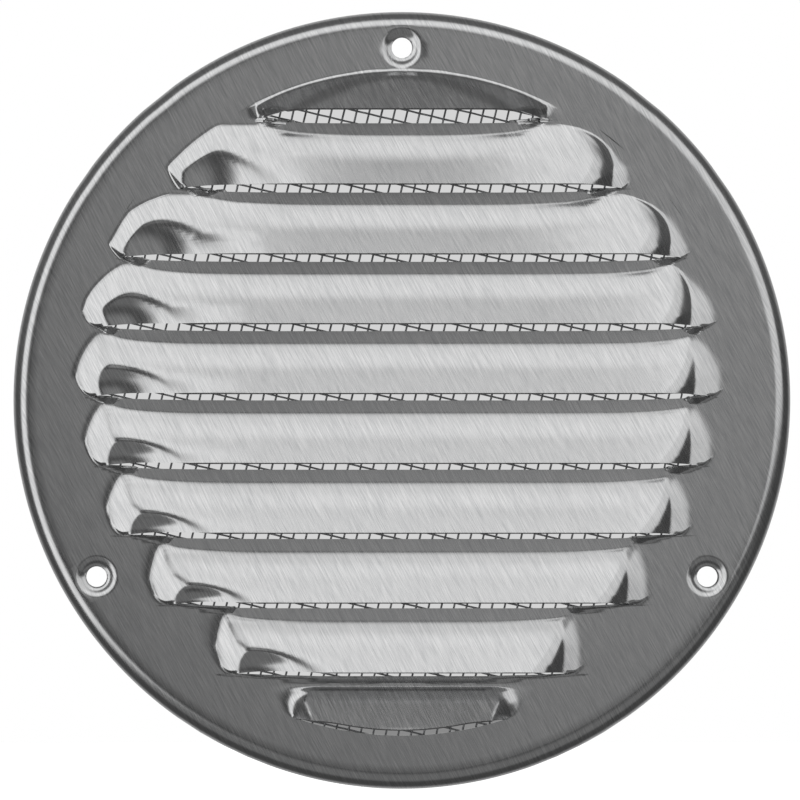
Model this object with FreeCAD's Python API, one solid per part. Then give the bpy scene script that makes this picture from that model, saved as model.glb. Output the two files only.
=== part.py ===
import FreeCAD, Part
import math
import os

# Round louvred vent cover: one pressed stainless sheet and the insect screen behind it.
# Drawn flat first: X to the right, Y up, Z out of the wall, with Z = 0 on the flange's front face.
# At the end it is stood up, so that the front looks along -Y and +Z is up.

# Sheet and louvre field, in millimetres
SHEET = 0.6
LOUVRES = 10
PITCH = 16.85
TOP_REACH = 13.3
STRIP = 2.4
MOUTH = 1.7
LIP_HEIGHT = 6.7

# Ends of the louvres: a drawn band, then a steeper wall up to the sloping face
BAND_WIDTH = 7.0
BAND_ANGLE = math.radians(25.0)
WALL_ANGLE = math.radians(40.0)
SLIT_INSET = 2.0
SLIT_DROP = 3.0
SLIT_WIDTH = 0.3
END_BULGE = 0.8
CURL_RUN = 4.5
CURL_RISE = 6.5
CORNER_RUN = 14.0
CORNER_SPREAD = 0.165

# Top louvre, hinged on an arc, and bottom louvre, slit on an arc
TOP_CURL_RUN = 1.6
TOP_CURL_RISE = 4.0
TOP_WALL_ANGLE = math.radians(42.0)
TOP_FACE_RISE = 1.0
BOTTOM_REACH = 0.8
BOTTOM_MOUTH = 2.1
BOTTOM_HALF = 28.0
BOTTOM_CURL_RUN = 2.4
BOTTOM_CURL_RISE = 3.2
BOTTOM_CORNER = 4.0
BOTTOM_KNEE = 4.5
BOTTOM_KNEE_HEIGHT = 3.7

# Screw holes in pressed dimples, and the rolled rim
HOLES = 3
HOLE_R = 2.5
DIMPLE_R = 4.5
DIMPLE_FLOOR_R = 3.4
DIMPLE_DEPTH = 1.2
DIMPLE_GAP = 0.65
RIM_LAND = 4.65
RIM_BEND_R = 4.5
RIM_BEND_STEPS = 4
RIM_DEPTH = 6.0

# Insect screen: woven wire, drawn as a wall with one gap for each block of meshes
WIRE = 0.5
MESH_BLOCK = 15.0
BAR = 2.0
SCREEN_LAP = 1.3
SCREEN_EDGE = 1.5
SCREEN_TURN = -13.4
SCREEN_CLEAR = 0.4
LEAST_GAP = 0.25

# Sizes that follow from those above
ROWS_ABOVE = LOUVRES // 2 - 1
TOP_SLIT_Y = ROWS_ABOVE * PITCH
FIELD_R = TOP_SLIT_Y + TOP_REACH
SLIT_R = FIELD_R - SLIT_INSET
BOTTOM_SLIT_R = FIELD_R + BOTTOM_REACH
HOLE_CIRCLE_R = FIELD_R + DIMPLE_GAP + DIMPLE_R
RIM_R = HOLE_CIRCLE_R + RIM_LAND + RIM_BEND_R
SCREEN_R = FIELD_R + SCREEN_LAP
MARGIN = 2.0 * SHEET
FAR = 2.0 * RIM_R

Z_AXIS = FreeCAD.Vector(0, 0, 1)
ORIGIN = FreeCAD.Vector(0, 0, 0)


def point(x, y, z=0.0):
    return FreeCAD.Vector(x, y, z)


def line(a, b):
    return Part.LineSegment(a, b).toShape()


def quarter_curve(start, corner, end):
    """Edge that leaves start and reaches end along the two sides of a corner, as a quarter ellipse does."""
    handle = 0.55
    curve = Part.BezierCurve()
    curve.setPoles([start, start + (corner - start) * handle, end + (corner - end) * handle, end])
    return curve.toShape()


def prism(section):
    """Solid with a (y, z) section, running across the whole plate along X."""
    corners = [point(-FAR, y, z) for y, z in section]
    face = Part.Face(Part.makePolygon(corners + corners[:1]))
    return face.extrude(FreeCAD.Vector(2 * FAR, 0, 0))


def disc(radius, low, high):
    return Part.makeCylinder(radius, high - low, point(0, 0, low), Z_AXIS)


def cone(low_radius, high_radius, low, high):
    return Part.makeCone(low_radius, high_radius, high - low, point(0, 0, low), Z_AXIS)


def rim_point(radius, turn):
    """Point of the rolled rim's section: an arc that leaves the flange flat and ends square to the wall."""
    return point(RIM_R - RIM_BEND_R + radius * math.sin(turn), 0, radius * math.cos(turn) - RIM_BEND_R)


def sheet_blank():
    """The plain pan before the louvres: a flat disc with its edge rolled back to the wall in conical steps."""
    turns = [math.pi / 2 * step / RIM_BEND_STEPS for step in range(RIM_BEND_STEPS + 1)]
    front = [rim_point(RIM_BEND_R, turn) for turn in turns]
    edge = [point(RIM_R, 0, -RIM_DEPTH), point(RIM_R - SHEET, 0, -RIM_DEPTH)]
    back = [rim_point(RIM_BEND_R - SHEET, turn) for turn in reversed(turns)]
    section = [ORIGIN] + front + edge + back + [point(0, 0, -SHEET), ORIGIN]
    return Part.Face(Part.makePolygon(section)).revolve(ORIGIN, Z_AXIS, 360)


def end_wire(ends, shift, z):
    """Outline of a louvre at one level, with both ends drawn in by shift."""
    wide = ends["half"] - shift
    tip = wide - ends["curl_run"]
    corner = wide - ends["corner_run"]
    low, slit, widest, top = ends["low_y"], ends["slit_y"], ends["slit_y"] + ends["curl_rise"], ends["top_y"]
    right = [
        line(point(tip, low, z), point(tip, slit, z)),
        quarter_curve(point(tip, slit, z), point(wide, slit, z), point(wide, widest, z)),
        quarter_curve(point(wide, widest, z), point(wide, top, z), point(corner, top, z)),
    ]
    left = [
        quarter_curve(point(-corner, top, z), point(-wide, top, z), point(-wide, widest, z)),
        quarter_curve(point(-wide, widest, z), point(-wide, slit, z), point(-tip, slit, z)),
        line(point(-tip, slit, z), point(-tip, low, z)),
    ]
    across_top = [line(point(corner, top, z), point(-corner, top, z))]
    across_bottom = [line(point(-tip, low, z), point(tip, low, z))]
    return Part.Wire(right + across_top + left + across_bottom)


def end_form(ends, inside):
    """Space between the two ends of a louvre: bands, then walls. The inside one lies a sheet within."""
    mean = (BAND_ANGLE + WALL_ANGLE) / 2
    reach = SHEET / math.cos((WALL_ANGLE - BAND_ANGLE) / 2) if inside else 0.0
    inward, lowered = reach * math.sin(mean), reach * math.cos(mean)
    knee = BAND_WIDTH * math.tan(BAND_ANGLE)
    bottom = -SHEET - MARGIN
    top = LIP_HEIGHT + MARGIN
    levels = [
        (bottom / math.tan(BAND_ANGLE), bottom),
        (BAND_WIDTH, knee),
        (BAND_WIDTH + (top - knee) / math.tan(WALL_ANGLE), top),
    ]
    wires = [end_wire(ends, shift + inward, z - lowered) for shift, z in levels]
    return Part.makeLoft(wires, True, True)


def inner_profile(profile):
    """The back of a sheet whose front follows profile, from its first bend at the flange to its lip."""
    angles = [0.0]
    for (y0, z0), (y1, z1) in zip(profile, profile[1:]):
        angles.append(math.atan2(z1 - z0, y0 - y1))
    angles.append(angles[-1])
    back = []
    for (y, z), before, after in zip(profile, angles, angles[1:]):
        reach = SHEET / math.cos((after - before) / 2)
        mean = (after + before) / 2
        back.append((y - reach * math.sin(mean), z - reach * math.cos(mean)))
    return back


def louvre(profile, slit_y, ends):
    """Pressed-out form of one louvre, still full, and the space beneath its sheet."""
    back = inner_profile(profile)
    lip_y, lip_z = back[-1]
    front_section = [(profile[0][0], -SHEET / 2)] + profile + [(lip_y, lip_z), (lip_y, -SHEET / 2)]
    deep = -SHEET - MARGIN
    back_section = [(back[0][0], deep)] + back + [(slit_y, lip_z), (slit_y, deep)]
    form = prism(front_section).common(end_form(ends, False))
    space = prism(back_section).common(end_form(ends, True))
    return form, space


def hollowed(form, opening):
    """A louvre's shell, and the opening that it stands over in the blank."""
    return form.cut(opening), opening


def slit_half(slit_y):
    """Half-length of a slit: the slits end on a circle set a little below the plate's centre."""
    return math.sqrt(SLIT_R ** 2 - (slit_y + SLIT_DROP) ** 2)


def slit_cut(half, slit_y):
    """Fine sheared line that runs past the lip to the end of a slit."""
    depth = SHEET + 2 * MARGIN
    return Part.makeBox(2 * half, SLIT_WIDTH, depth, point(-half, slit_y, -SHEET - MARGIN))


def straight_louvre(slit_y):
    hinge_y = slit_y + PITCH - STRIP
    profile = [(hinge_y, 0.0), (slit_y + MOUTH, LIP_HEIGHT)]
    half = slit_half(slit_y)
    ends = {
        "half": half + END_BULGE,
        "curl_run": CURL_RUN,
        "curl_rise": CURL_RISE,
        "corner_run": CORNER_RUN + CORNER_SPREAD * hinge_y,
        "low_y": slit_y - MARGIN,
        "slit_y": slit_y,
        "top_y": hinge_y + MARGIN,
    }
    form, space = louvre(profile, slit_y, ends)
    return hollowed(form, space.fuse(slit_cut(half, slit_y)))


def top_louvre():
    """The highest louvre: its hinge is an arc of the field, so a cone bounds it as well."""
    slit_y = TOP_SLIT_Y
    lip_y = slit_y + MOUTH + STRIP / 2
    profile = [(FIELD_R + TOP_FACE_RISE, 0.0), (lip_y, LIP_HEIGHT)]
    half = slit_half(slit_y)
    ends = {
        "half": half + END_BULGE,
        "curl_run": TOP_CURL_RUN,
        "curl_rise": TOP_CURL_RISE,
        "corner_run": CORNER_RUN,
        "low_y": slit_y - MARGIN,
        "slit_y": slit_y,
        "top_y": FIELD_R + TOP_FACE_RISE + MARGIN,
    }
    form, space = louvre(profile, slit_y, ends)
    low, high = -SHEET - MARGIN, LIP_HEIGHT + MARGIN
    slope = math.tan(TOP_WALL_ANGLE)
    within = SHEET / math.sin(TOP_WALL_ANGLE)
    form = form.common(cone(FIELD_R - low / slope, FIELD_R - high / slope, low, high))
    space = space.common(cone(FIELD_R - within - low / slope, FIELD_R - within - high / slope, low, high))
    return hollowed(form, space.fuse(slit_cut(half, slit_y)))


def bottom_louvre():
    """The lowest louvre: its slit and lip are arcs about the plate's centre, and its face is bowed."""
    hinge_y = -TOP_SLIT_Y - STRIP
    lip_r = BOTTOM_SLIT_R - BOTTOM_MOUTH
    slit_y = -math.sqrt(BOTTOM_SLIT_R ** 2 - BOTTOM_HALF ** 2)
    profile = [(hinge_y, 0.0), (hinge_y - BOTTOM_KNEE, BOTTOM_KNEE_HEIGHT), (-lip_r, LIP_HEIGHT)]
    ends = {
        "half": BOTTOM_HALF,
        "curl_run": BOTTOM_CURL_RUN,
        "curl_rise": BOTTOM_CURL_RISE,
        "corner_run": BOTTOM_CORNER,
        "low_y": -BOTTOM_SLIT_R - MARGIN,
        "slit_y": slit_y,
        "top_y": hinge_y + MARGIN,
    }
    form, space = louvre(profile, -BOTTOM_SLIT_R - MARGIN, ends)
    low, high = -SHEET - MARGIN, LIP_HEIGHT + MARGIN
    form = form.common(disc(lip_r, low, high))
    space = space.common(disc(BOTTOM_SLIT_R, low, high))
    ring = disc(BOTTOM_SLIT_R, low, MARGIN).cut(disc(BOTTOM_SLIT_R - SLIT_WIDTH, low, MARGIN))
    end_slits = Part.makeBox(2 * BOTTOM_HALF, FAR, FAR, point(-BOTTOM_HALF, -FAR, -FAR / 2))
    return hollowed(form, space.fuse(ring.common(end_slits)))


def hole_places():
    """Centres of the screw holes, the first straight up."""
    turns = [math.pi / 2 + 2 * math.pi * i / HOLES for i in range(HOLES)]
    return [point(HOLE_CIRCLE_R * math.cos(a), HOLE_CIRCLE_R * math.sin(a)) for a in turns]


def dimples():
    """Solids that press a dimple behind each hole, and those that clear its front and the hole."""
    wall = math.atan2(DIMPLE_DEPTH, DIMPLE_R - DIMPLE_FLOOR_R)
    back = SHEET * math.tan(wall / 2)
    boss = cone(DIMPLE_FLOOR_R + back, DIMPLE_R + back, -DIMPLE_DEPTH - SHEET, -SHEET)
    boss = boss.fuse(disc(DIMPLE_R + back, -SHEET, -SHEET / 2))
    grow = (DIMPLE_R - DIMPLE_FLOOR_R) / DIMPLE_DEPTH
    dish = cone(DIMPLE_FLOOR_R, DIMPLE_R + grow * MARGIN, -DIMPLE_DEPTH, MARGIN)
    hole = disc(HOLE_R, -DIMPLE_DEPTH - SHEET - MARGIN, MARGIN)
    clear = dish.fuse(hole)
    bosses = [boss.translated(place) for place in hole_places()]
    clears = [clear.translated(place) for place in hole_places()]
    return bosses, clears


def louvre_plate():
    pairs = [top_louvre()]
    for row in range(1, LOUVRES - 1):
        pairs.append(straight_louvre(TOP_SLIT_Y - row * PITCH))
    pairs.append(bottom_louvre())
    bosses, clears = dimples()
    shells = [shell for shell, opening in pairs]
    openings = [opening for shell, opening in pairs]
    plate = sheet_blank().cut(Part.makeCompound(openings))
    plate = plate.fuse(shells + bosses)
    plate = plate.cut(Part.makeCompound(clears))
    return plate.removeSplitter()


def mesh_gaps(depth):
    """Square gaps of the screen, trimmed to the round wall and left out where only a sliver would stay."""
    side = MESH_BLOCK - BAR
    reach = int(SCREEN_R // MESH_BLOCK) + 1
    inner = disc(SCREEN_R - SCREEN_EDGE, -depth, depth)
    gaps = []
    for column in range(-reach, reach + 1):
        for row in range(-reach, reach + 1):
            corner = point(column * MESH_BLOCK - side / 2, row * MESH_BLOCK - side / 2, -depth)
            gap = Part.makeBox(side, side, 2 * depth, corner).common(inner)
            if gap.Volume > LEAST_GAP * side * side * 2 * depth:
                gaps.append(gap)
    return gaps


def insect_screen():
    """Wall of one wire's thickness with upright ridges in front and level ridges behind, as warp and weft."""
    wall = disc(SCREEN_R, -WIRE, 0.0)
    reach = int(SCREEN_R // MESH_BLOCK)
    ridges = []
    for column in range(-reach - 1, reach + 1):
        offset = (column + 0.5) * MESH_BLOCK
        upright = point(offset - WIRE / 2, -SCREEN_R, -WIRE / 2)
        level = point(-SCREEN_R, offset - WIRE / 2, -WIRE - WIRE / 2)
        ridges.append(Part.makeBox(WIRE, 2 * SCREEN_R, WIRE, upright))
        ridges.append(Part.makeBox(2 * SCREEN_R, WIRE, WIRE, level))
    round_trim = disc(SCREEN_R, -FAR, FAR)
    ridges = [ridge.common(round_trim) for ridge in ridges]
    screen = wall.fuse([ridge for ridge in ridges if ridge.Volume > 0])
    screen = screen.cut(Part.makeCompound(mesh_gaps(2 * WIRE)))
    screen.rotate(ORIGIN, Z_AXIS, SCREEN_TURN)
    screen.translate(point(0, 0, -SHEET - WIRE / 2))
    notch = disc(DIMPLE_R + SHEET + SCREEN_CLEAR, -FAR, FAR)
    notches = [notch.translated(place) for place in hole_places()]
    return screen.cut(Part.makeCompound(notches)).removeSplitter()


def stand_up(shape):
    """Front to -Y, up to +Z, with the screw seats in the dimples on the plane Y = 0."""
    shape.rotate(ORIGIN, FreeCAD.Vector(1, 0, 0), 90)
    shape.translate(FreeCAD.Vector(0, -DIMPLE_DEPTH, 0))
    return shape


def main():
    os.makedirs("parts", exist_ok=True)
    pieces = {"louvre_plate": louvre_plate(), "insect_screen": insect_screen()}
    for name, shape in pieces.items():
        solid = stand_up(shape)
        solid.exportStep("parts/" + name + ".step")
        box = solid.BoundBox
        print(name, "solids", len(solid.Solids), "valid", solid.isValid(), "volume", round(solid.Volume, 1),
              "faces", len(solid.Faces), "size", [round(v, 2) for v in (box.XLength, box.YLength, box.ZLength)])


main()
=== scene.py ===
# %% [markdown]
# # A round louvred vent cover
# The real thing is one disc of brushed stainless sheet, pressed into ten fixed louvres with a rolled rim,
# and a round of woven insect screen behind it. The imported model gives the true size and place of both.
# This lesson dresses them: a finely pressed plate, real wires, and two metals.

# %% Load the frame
import math
import bpy
import numpy as np
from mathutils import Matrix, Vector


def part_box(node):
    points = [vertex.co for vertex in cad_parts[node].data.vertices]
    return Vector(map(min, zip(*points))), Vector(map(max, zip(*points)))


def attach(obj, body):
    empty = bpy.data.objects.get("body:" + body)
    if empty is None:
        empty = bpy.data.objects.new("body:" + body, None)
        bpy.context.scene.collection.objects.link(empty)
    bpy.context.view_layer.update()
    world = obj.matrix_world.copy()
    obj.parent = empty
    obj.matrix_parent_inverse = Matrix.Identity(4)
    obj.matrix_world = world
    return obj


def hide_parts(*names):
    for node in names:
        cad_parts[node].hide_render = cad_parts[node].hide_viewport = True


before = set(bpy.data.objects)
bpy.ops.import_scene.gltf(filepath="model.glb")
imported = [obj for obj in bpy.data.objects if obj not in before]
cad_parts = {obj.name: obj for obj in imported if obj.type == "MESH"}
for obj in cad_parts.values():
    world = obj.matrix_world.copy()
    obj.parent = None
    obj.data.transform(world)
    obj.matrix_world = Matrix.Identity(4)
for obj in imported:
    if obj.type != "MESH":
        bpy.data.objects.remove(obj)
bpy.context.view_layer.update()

# %% [markdown]
# ## Sizes
# Everything is worked out in millimetres and turned to metres at the end. The outer sizes could be typed
# in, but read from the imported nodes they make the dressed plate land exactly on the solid.

# %% Sizes of the sheet
MM = 0.001
plate_low, plate_high = (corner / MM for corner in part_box("louvre_plate"))
screen_low, screen_high = (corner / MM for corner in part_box("insect_screen"))
SHEET = 0.6
RIM_R = plate_high.x
RIM_BACK = plate_high.y
FLANGE_Y = screen_low.y - SHEET
LIP_HEIGHT = FLANGE_Y - plate_low.y
print("rim radius", round(RIM_R, 2), "lip height", round(LIP_HEIGHT, 2), "flange at y", round(FLANGE_Y, 2))

# %% [markdown]
# ## Soft bends
# Pressed sheet has no knife-sharp corner: every crease is a small bend. A bevel could round them
# afterwards, but the bends differ in width and run into each other. So one function gives a ramp with a
# rounded foot, and another takes the lower of two heights with a rounded edge between them. All the
# louvres use both.

# %% Rounded ramp and rounded minimum
FADE_HEIGHT = 3.0
LEAST_REACH = 0.001


def ramp(distance, rounding):
    """Zero before the bend, the distance itself after it, and a parabola between."""
    bend = (distance + rounding) ** 2 / (4 * rounding)
    return np.where(distance < -rounding, 0.0, np.where(distance > rounding, distance, bend))


def lower_of(a, b, rounding):
    """The lower of two heights. The rounding between them fades out close to the flange."""
    least = np.minimum(a, b)
    reach = rounding * least / (least + FADE_HEIGHT) + LEAST_REACH
    return np.maximum(least - np.maximum(reach - np.abs(a - b), 0.0) ** 2 / (4 * reach), 0.0)


def tan(degrees):
    return math.tan(math.radians(degrees))


print("a ramp of 1 mm with a 0.5 mm foot rises", round(float(ramp(1.0, 0.5)), 3))

# %% [markdown]
# ## Where the slits lie
# The press shears the sheet along ten slits, one pitch apart, which end on a circle set a little below
# the centre. Two short formulas give any slit's height and length, so none has to be measured on its own.

# %% Height and length of a slit
ROWS = 10
PITCH = 16.85
SLIT_R = 78.7
SLIT_DROP = 3.0


def slit_z(row):
    return (ROWS / 2 - row) * PITCH


def slit_half(row):
    return math.sqrt(SLIT_R ** 2 - (slit_z(row) + SLIT_DROP) ** 2)


for row in (1, 5, 9):
    print("slit", row, "at", round(slit_z(row), 1), "half-length", round(slit_half(row), 1))

# %% [markdown]
# ## Outline of a louvre's end
# Seen from the front, the end of a louvre is a long curve from its hinge out to its widest point, then a
# short curl back to the slit. A Bezier curve could be traced by hand for each. Two quarter ellipses say
# the same with a few sizes, and the distance of any point from them tells how far the sheet has been
# drawn there.

# %% Quarter ellipses and the distance from them
FIELD_R = 80.7
EDGE_R = 81.5
FIELD_ROOM = 0.1
CURVE_POINTS = 120
BLOCK = 2000
ELLIPSE = 2.0


def quarter(start, corner, end, fullness):
    """Quarter of a superellipse from start to end. Two is an ellipse, less is flatter, more is fuller."""
    turn = np.linspace(0.0, math.pi / 2, CURVE_POINTS)
    out, back = np.sin(turn) ** (2 / fullness), np.cos(turn) ** (2 / fullness)
    start, corner, end = np.array(start), np.array(corner), np.array(end)
    centre = start + end - corner
    return centre + np.outer(back, start - centre) + np.outer(out, end - centre)


class End:
    """Right-hand outline of a louvre as a line of points, from its top down to its slit."""

    def __init__(self, *pieces):
        self.curve = np.concatenate(pieces)
        inside = np.sqrt(np.maximum((FIELD_R - FIELD_ROOM) ** 2 - self.curve[:, 1] ** 2, 0.0))
        self.curve[:, 0] = np.minimum(self.curve[:, 0], np.where(self.curve[:, 1] > 0, inside, EDGE_R))
        self.top = self.curve[0, 1]
        self.corner = self.curve[0, 0]
        self.tip = self.curve[-1, 0]

    def half_width(self, z):
        return np.interp(z, self.curve[::-1, 1], self.curve[::-1, 0])

    def depth_inside(self, x, z):
        """Distance from the outline, positive inside the louvre. Points go in blocks to spare memory."""
        points = np.stack([x.ravel(), z.ravel()], axis=1)
        gap = np.empty(len(points))
        for start in range(0, len(points), BLOCK):
            block = points[start:start + BLOCK]
            gap[start:start + BLOCK] = np.sqrt(((block[:, None] - self.curve[None]) ** 2).sum(2)).min(1)
        gap = gap.reshape(x.shape)
        return np.where((x < self.half_width(z)) & (z < self.top), gap, -gap)


print("a quarter has", len(quarter((0, 1), (1, 1), (1, 0), ELLIPSE)), "points")

# %% [markdown]
# ## The ends of the eight straight louvres
# Each louvre follows the round field, so no two have the same end. A line of sizes for each is kept here,
# and the outlines are built from it: the visible one, the same without its curl, and the crease inside
# the right-hand band.

# %% Outlines of each straight louvre
SAG = 0.9
SIDE_POINTS = 60
LEAN = 0.5
CURLED_FROM = 4
RIGHT_FULLNESS = 2.3
RIGHT_CORNER = 2.5
RIGHT_CURL = 0.9
CREASE_INSET = 1.5
CREASE_DROP = 0.5

# From the second louvre down: where its outline leaves the slit above, how far out it goes, how high
# above its own slit that is, the run of the curl below it, the fullness of both curves, and the width of
# the band on the right.
END_SHAPES = {2: (31.7, 56.9, 5.2, 3.0, 2.1, 1.2, 5.5),
              3: (47.2, 71.3, 3.7, 3.0, 1.85, 1.2, 6.0),
              4: (63.4, 77.7, 4.1, 4.2, 1.5, 1.6, 7.4),
              5: (70.7, 79.2, 5.1, 4.1, 1.55, 1.6, 8.0),
              6: (70.9, 76.9, 6.4, 4.2, 1.45, 1.6, 6.8),
              7: (66.2, 71.7, 7.0, 4.4, 1.45, 1.7, 6.4),
              8: (57.4, 61.4, 6.4, 5.0, 1.5, 1.8, 6.6),
              9: (42.1, 45.3, 7.0, 4.3, 1.5, 1.8, 6.0)}


def louvre_ends(row):
    """The outline, its side run straight on, its side leaning in, and the crease on the right."""
    corner, wide, rise, curl, top_full, curl_full, right = END_SHAPES[row]
    top, slit = slit_z(row - 1) + SAG, slit_z(row) + SAG
    widest, tip = slit + rise, wide - curl
    shoulder = quarter((corner, top), (wide, top), (wide, widest), top_full)
    outline = End(shoulder, quarter((wide, widest), (wide, slit), (tip, slit), curl_full)[1:])
    straight = End(shoulder, np.linspace((wide, widest), (wide, slit - PITCH), SIDE_POINTS)[1:])
    lean = LEAN * curl / rise * (widest - slit + PITCH) if row >= CURLED_FROM else 0.0
    leaning = End(shoulder, np.linspace((wide, widest), (wide - lean, slit - PITCH), SIDE_POINTS)[1:])
    foot = wide - right
    start = min(corner, foot - CREASE_INSET) - RIGHT_CORNER
    high = top - CREASE_DROP
    right_foot = End(quarter((start, high), (foot, high), (foot, widest), RIGHT_FULLNESS),
                     quarter((foot, widest), (foot, slit), (foot - RIGHT_CURL, slit), ELLIPSE)[1:])
    return outline, straight, leaning, right_foot


for row in (2, 5, 9):
    print("louvre", row, "lip from", round(louvre_ends(row)[0].tip, 1), "widest", END_SHAPES[row][1])

# %% [markdown]
# ## Grids for the bands
# A sheet like this could be sculpted, or cut from the solid. A grid is surer: one grid for each band
# between two slits, with its columns laid along the louvre's outline and crowded where the sheet bends.
# Each grid is a plain primitive whose vertices are then pressed to their height by formula. Bands share
# the vertices of the flange outside the slits, so merging by distance sews them up and leaves the slits
# open.

# %% Columns and rows of a band
END_COLUMNS = np.array([0, .2, .45, .75, 1.1, 1.6, 2.2, 2.9, 3.6, 4.2, 4.7, 5.1, 5.5, 5.9, 6.3, 6.7, 7.2,
                        7.8, 8.5, 9.3, 10.2, 11.2, 12.4, 13.8, 15.4, 17.2, 19.5, 22.0])
BAND_ROWS = np.array([0, .1, .2, .32, .46, .62, .8, 1.0, 1.25, 1.55, 1.85, 2.15, 2.45, 2.7, 2.95, 3.2, 3.45,
                      3.75, 4.1, 4.6, 5.2, 5.9, 6.7, 7.5, 8.3, 9.1, 9.9, 10.7, 11.5, 12.2, 12.9, 13.5, 14.1,
                      14.6, 15.1, 15.5, 15.85, 16.15, 16.4, 16.6, 16.75, 16.85])
MIDDLE_COLUMNS = 6
SLIT_COLUMNS = 5
FLANGE_COLUMNS = 4
SHORT_HALF = 30.0


def half_columns(crease, slit_end, edge):
    """Column places from the middle out to the flange's edge at one height. Short louvres squeeze theirs."""
    bend = crease - END_COLUMNS * min(1.0, crease / SHORT_HALF)
    middle = np.linspace(0.0, bend[-1], MIDDLE_COLUMNS + 1)[:-1]
    beyond = crease + (slit_end - crease) * np.linspace(0, 1, SLIT_COLUMNS + 1)[1:]
    flange = slit_end + (edge - slit_end) * np.linspace(0, 1, FLANGE_COLUMNS + 1)[1:]
    return np.concatenate([middle, bend[::-1], beyond, flange])


def both_sides(right):
    return np.concatenate([-right[::-1], right[1:]])


print("columns across a band", 2 * len(half_columns(60, 62, 70)) - 1, "rows", len(BAND_ROWS))

# %% Add a grid and press it
def grid_piece(name, x, y, z):
    """Adds a grid primitive and presses its vertices to the given places, rows running upwards."""
    rows, columns = x.shape
    bpy.ops.object.select_all(action="DESELECT")
    bpy.ops.mesh.primitive_grid_add(x_subdivisions=columns - 1, y_subdivisions=rows - 1, size=1)
    piece = bpy.context.object
    piece.name = name
    places = np.stack([x, y, z], axis=-1).reshape(-1, 3) * MM
    piece.data.vertices.foreach_set("co", places.astype(np.float32).ravel())
    piece.data.update()
    return piece


def vertex_places(piece):
    """Where a piece's vertices are, in metres."""
    places = np.empty(len(piece.data.vertices) * 3, dtype=np.float32)
    piece.data.vertices.foreach_get("co", places)
    return places.reshape(-1, 3)


def triangles(piece):
    return sum(len(face.vertices) - 2 for face in piece.data.polygons)


print("ready to press grids with a flange at", round(FLANGE_Y * MM, 4), "m")

# %% [markdown]
# ## Left ends with a pocket
# On the left the drawn band climbs to a small flat place beside the lip, where the die didn't reach. It
# lies nearly level with the flange, so it mirrors the same grey. It could be a separate dent pressed in
# later. Taking the lower of the band and a shallow bowl makes both in one go, with a soft edge between
# them.

# %% Press a pocket
LEFT_BAND = tan(23.0)
POCKET_RISE = tan(20.0)
POCKET_ROUND = 4.5
POCKET_EDGE = 0.3

# For each louvre: the pocket's length along the lip, its height, and how much faster it closes upwards
# than inwards.
POCKETS = {2: (11.5, 1.5, 0.8), 3: (14.5, 1.6, 1.0), 4: (12.0, 1.7, 1.2), 5: (11.0, 1.7, 1.3),
           6: (9.5, 1.5, 1.6), 7: (8.0, 1.5, 1.8), 8: (7.0, 1.5, 2.1), 9: (8.5, 1.5, 1.6)}


def pocket_end(depth, inward, above_lip, pocket, floor, upward, rounding):
    """The drawn band on the left climbs to a flat pocket, which rises to the face round its inner end."""
    middle = 0.5 * pocket
    past = np.hypot(np.maximum(inward - middle, 0.0), upward * np.maximum(above_lip, 0.0)) - middle
    bowl = floor + POCKET_RISE * ramp(past, POCKET_ROUND)
    return lower_of(LEFT_BAND * ramp(depth, rounding), bowl, POCKET_EDGE)


lengths = [length for length, floor, upward in POCKETS.values()]
print("pockets from", min(lengths), "to", max(lengths), "mm long")

# %% [markdown]
# ## Right ends with a crease
# On the right the sheet leaves the flange gently, runs along a low band, and turns up at a crease into a
# steep wall. The wall mirrors the dark below the light, which draws the black sickles of the photograph.
# Two ramps laid one on the other make the band and the wall.

# %% Press a crease
RIGHT_BAND = tan(13.5)
RIGHT_WALL = tan(44.0)
RIGHT_EASE = 1.8
CREASE_ROUND = 0.3


def creased_end(depth, past_crease):
    """A band that starts softly and ends in a crease under a steep wall."""
    band = RIGHT_BAND * ramp(depth - RIGHT_EASE, RIGHT_EASE)
    return band + (RIGHT_WALL - RIGHT_BAND) * ramp(past_crease, CREASE_ROUND)


print("the wall is", round(RIGHT_WALL / RIGHT_BAND, 1), "times as steep as the band")

# %% [markdown]
# ## Lip, mouth and strip
# The lip of a louvre lifts off the sheared line and the strip of sheet below it sags, which is what opens
# the mouth. At the louvre's corners the strip's edge is turned a little forward and leaves a wedge of
# shade. These are small moves of the vertices along the sheet and out of it, so each is a short function
# of the place.

# %% Open the mouth
SLIT_GAP = 0.1
MOUTH_RUN = 12.0
SAG_POWER = 6
STRIP_WIDTH = 4.3
STRIP_LEAST = 1.3
STRIP_RUN = 24.0
STRIP_POWER = 0.6


def mouth_lift(x, tip, full):
    """How far the lip stands above the sheared line, from the ends to the middle."""
    along = np.clip((tip - np.abs(x)) / MOUTH_RUN, 0.0, 1.0)
    gap = SLIT_GAP * np.clip(tip - np.abs(x), 0.0, 1.0)
    return gap + full * (1.0 - (1.0 - along) ** 2)


def strip_sag(x, half, down):
    """How far the strip hangs below the sheared line, most in the middle and at its edge."""
    middle = SAG * np.clip(1.0 - (np.abs(x) / half) ** SAG_POWER, 0.0, 1.0)
    return middle * np.clip(1.0 - down / STRIP_WIDTH, 0.0, 1.0)


def strip_width(x, corner):
    """The strip under a slit narrows towards the place where the louvre's outline meets the slit."""
    along = np.clip((corner - np.abs(x)) / STRIP_RUN, 0.0, 1.0)
    widening = along ** STRIP_POWER * (1.0 + STRIP_POWER - STRIP_POWER * along)
    return STRIP_LEAST + (STRIP_WIDTH - STRIP_LEAST) * widening


print("strip in the middle", round(float(strip_width(0.0, 60.0)), 2), "at its end", STRIP_LEAST)

# %% Turn the edge below a slit
TURN_INNER = 2.0
TURN_REACH = 5.5
TURN_TALL = 1.6
TURN_SLOPE = 1.1
TURN_FULL = 1.4
TURN_LINE = 0.2
TURN_FADE = 2.0


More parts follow.
